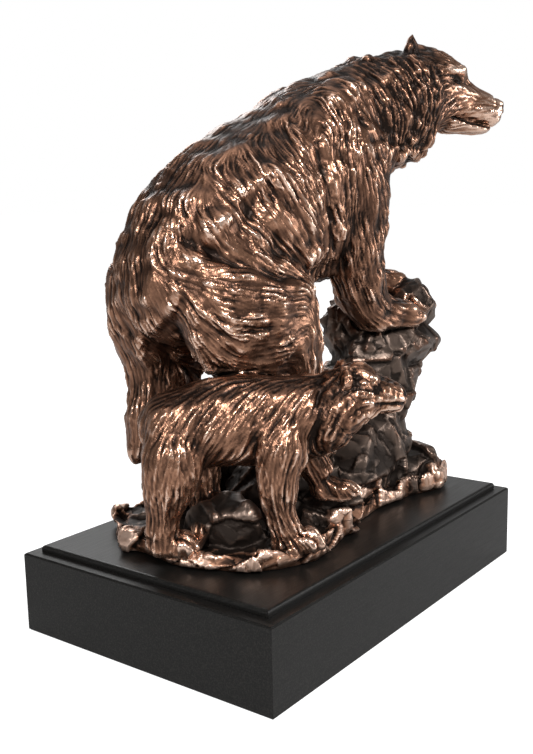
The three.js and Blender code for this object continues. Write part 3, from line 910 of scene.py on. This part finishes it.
def bronzed_resin():
    """The casting's finish with painted shade in it, with fine hair along the strands and the resin's own
    grain.
    """
    material, tree, surface = shader_tree("bronzed_resin")
    link = tree.links.new
    tone = sum_of(tree, speckle(tree, *PATINA), PATINA_TONE, TONE_START)
    for label, amount in TONE_OF.items():
        tone = sum_of(tree, carved(tree, label), amount, tone)
    colour = mixed(
        tree, carved(tree, "rock"), ramp(tree, tone, FUR_STOPS), ramp(tree, tone, STONE_STOPS))
    colour = mixed(tree, carved(tree, "rim"), colour, ramp(tree, tone, RIM_STOPS))
    link(colour, surface.inputs["Base Color"])
    gloss = dialled(
        tree, "ShaderNodeMapRange", From_Min=0.3, From_Max=0.8,
        To_Min=DARK_ROUGHNESS, To_Max=RUBBED_ROUGHNESS)
    link(tone, gloss.inputs["Value"])
    rough = sum_of(tree, carved(tree, "rock"), STONE_ROUGHNESS, gloss.outputs["Result"])
    link(rough, surface.inputs["Roughness"])
    surface.inputs["Metallic"].default_value = 0.9
    hairs = dialled(tree, "ShaderNodeBump", Strength=0.5, Distance=0.3 * MM)
    link(carved(tree, "strand"), hairs.inputs["Height"])
    grain = dialled(tree, "ShaderNodeBump", Strength=0.15, Distance=0.2 * MM)
    link(speckle(tree, 900, 2), grain.inputs["Height"])
    link(hairs.outputs["Normal"], grain.inputs["Normal"])
    link(grain.outputs["Normal"], surface.inputs["Normal"])
    return material


resin = bronzed_resin()
for piece in shares:
    piece.data.materials.clear()
    piece.data.materials.append(resin)
    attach(piece, "root")
    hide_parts(CASTING)


# The plinth
#
# A block of wood with a moulded step round its top, filled, painted black and rubbed to a satin
# gloss. The casting is fixed on it from below.

PAINT = (0.0035, 0.0033, 0.003)
RUBBED_PAINT = (0.022, 0.02, 0.018)
PAINT_STOPS = [(0.45, PAINT), (0.8, RUBBED_PAINT)]
GRAIN_STRETCH = (60, 900, 900)
SATIN_LEAST = 0.3
SATIN_MOST = 0.48


def black_wood():
    """Satin black paint over a faint grain that runs along the plinth."""
    material, tree, surface = shader_tree("satin_black_wood")
    link = tree.links.new
    place = node(tree, "ShaderNodeTexCoord")
    stretch = dialled(tree, "ShaderNodeMapping", Scale=GRAIN_STRETCH)
    link(place.outputs["Object"], stretch.inputs["Vector"])
    grain = dialled(tree, "ShaderNodeTexNoise", Scale=1, Detail=5)
    link(stretch.outputs["Vector"], grain.inputs["Vector"])
    paint = ramp(tree, speckle(tree, 1500, 2), PAINT_STOPS)
    link(paint, surface.inputs["Base Color"])
    gloss = dialled(tree, "ShaderNodeMapRange", To_Min=SATIN_LEAST, To_Max=SATIN_MOST)
    link(grain.outputs["Fac"], gloss.inputs["Value"])
    link(gloss.outputs["Result"], surface.inputs["Roughness"])
    surface.inputs["Specular IOR Level"].default_value = 0.25
    bump = dialled(tree, "ShaderNodeBump", Strength=0.15, Distance=0.2 * MM)
    link(grain.outputs["Fac"], bump.inputs["Height"])
    link(bump.outputs["Normal"], surface.inputs["Normal"])
    return material


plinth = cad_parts["plinth"]
plinth.data.materials.clear()
plinth.data.materials.append(black_wood())


# The studio
#
# A pale floor and backdrop, which look white to the camera and light the statue a little. A small
# bright light stands over the camera's right, with a softer one on each side of it, two behind
# the statue and a broad one overhead.

FLOOR_WIDTH = 60
FLOOR_GREY = (0.4, 0.4, 0.4, 1)
WHITE = (1, 1, 1, 1)
FLOOR_GLOW = 0.22
FLOOR_GLOW_SEEN = 0.7
BACKDROP_GLOW = 0.19
BACKDROP_GLOW_SEEN = 0.81


def glow(tree, unseen, seen):
    """A strength of light, with more of it for what the camera sees directly."""
    ray = node(tree, "ShaderNodeLightPath")
    return sum_of(tree, ray.outputs["Is Camera Ray"], seen, unseen)


def pale_floor():
    material, tree, surface = shader_tree("pale_floor")
    surface.inputs["Base Color"].default_value = FLOOR_GREY
    surface.inputs["Roughness"].default_value = 0.9
    surface.inputs["Emission Color"].default_value = WHITE
    tree.links.new(glow(tree, FLOOR_GLOW, FLOOR_GLOW_SEEN), surface.inputs["Emission Strength"])
    return material


bpy.ops.mesh.primitive_plane_add(size=FLOOR_WIDTH, location=(0, 0, 0))
floor = bpy.context.object
floor.name = "floor"
floor.data.materials.append(pale_floor())

world = bpy.data.worlds.new("studio")
bpy.context.scene.world = world
world.use_nodes = True
air = world.node_tree
backdrop = air.nodes["Background"]
backdrop.inputs["Color"].default_value = WHITE
air.links.new(glow(air, BACKDROP_GLOW, BACKDROP_GLOW_SEEN), backdrop.inputs["Strength"])
bpy.context.scene.view_settings.view_transform = "Standard"

# Each light's name, place, width in metres and power in watts. All point at the statue's middle.
LIGHTS = [
    ("key", (-0.55, -0.75, 0.75), 0.2, 11),
    ("left", (-0.95, -0.1, 0.5), 0.26, 3),
    ("fill", (0.7, -0.9, 0.35), 0.5, 4),
    ("rim", (0.5, 0.8, 0.8), 0.4, 3),
    ("overhead", (0.0, 0.0, 1.3), 1.0, 4),
    ("backdrop_panel", (1.5, 1.1, 0.55), 1.6, 5),
]
AIM = Vector((0, 0, 0.15))

for name, place, width, power in LIGHTS:
    light = bpy.data.lights.new(name, "AREA")
    light.size = width
    light.energy = power
    lamp = bpy.data.objects.new(name, light)
    bpy.context.scene.collection.objects.link(lamp)
    lamp.location = place
    away = Vector(place) - AIM
    lamp.rotation_euler = away.to_track_quat("Z", "Y").to_euler()

# The camera's place, its lens, and which way its right side and its back face
CAMERA_PLACE = (-0.4026, -0.2937, 0.2053)
FOCAL_LENGTH = 46.28
FILM_WIDTH = 36
CAMERA_RIGHT = (0.6017, -0.7985, -0.021)
CAMERA_BACK = (-0.7841, -0.5954, 0.1753)
camera_data = bpy.data.cameras.new("camera")
camera_data.lens = FOCAL_LENGTH
camera_data.sensor_width = FILM_WIDTH
camera = bpy.data.objects.new("camera", camera_data)
bpy.context.scene.collection.objects.link(camera)
rightward = Vector(CAMERA_RIGHT).normalized()
backward = Vector(CAMERA_BACK).normalized()
upward = backward.cross(rightward)
turn = Matrix((rightward, upward, backward)).transposed().to_4x4()
camera.matrix_world = Matrix.Translation(CAMERA_PLACE) @ turn
bpy.context.scene.camera = camera
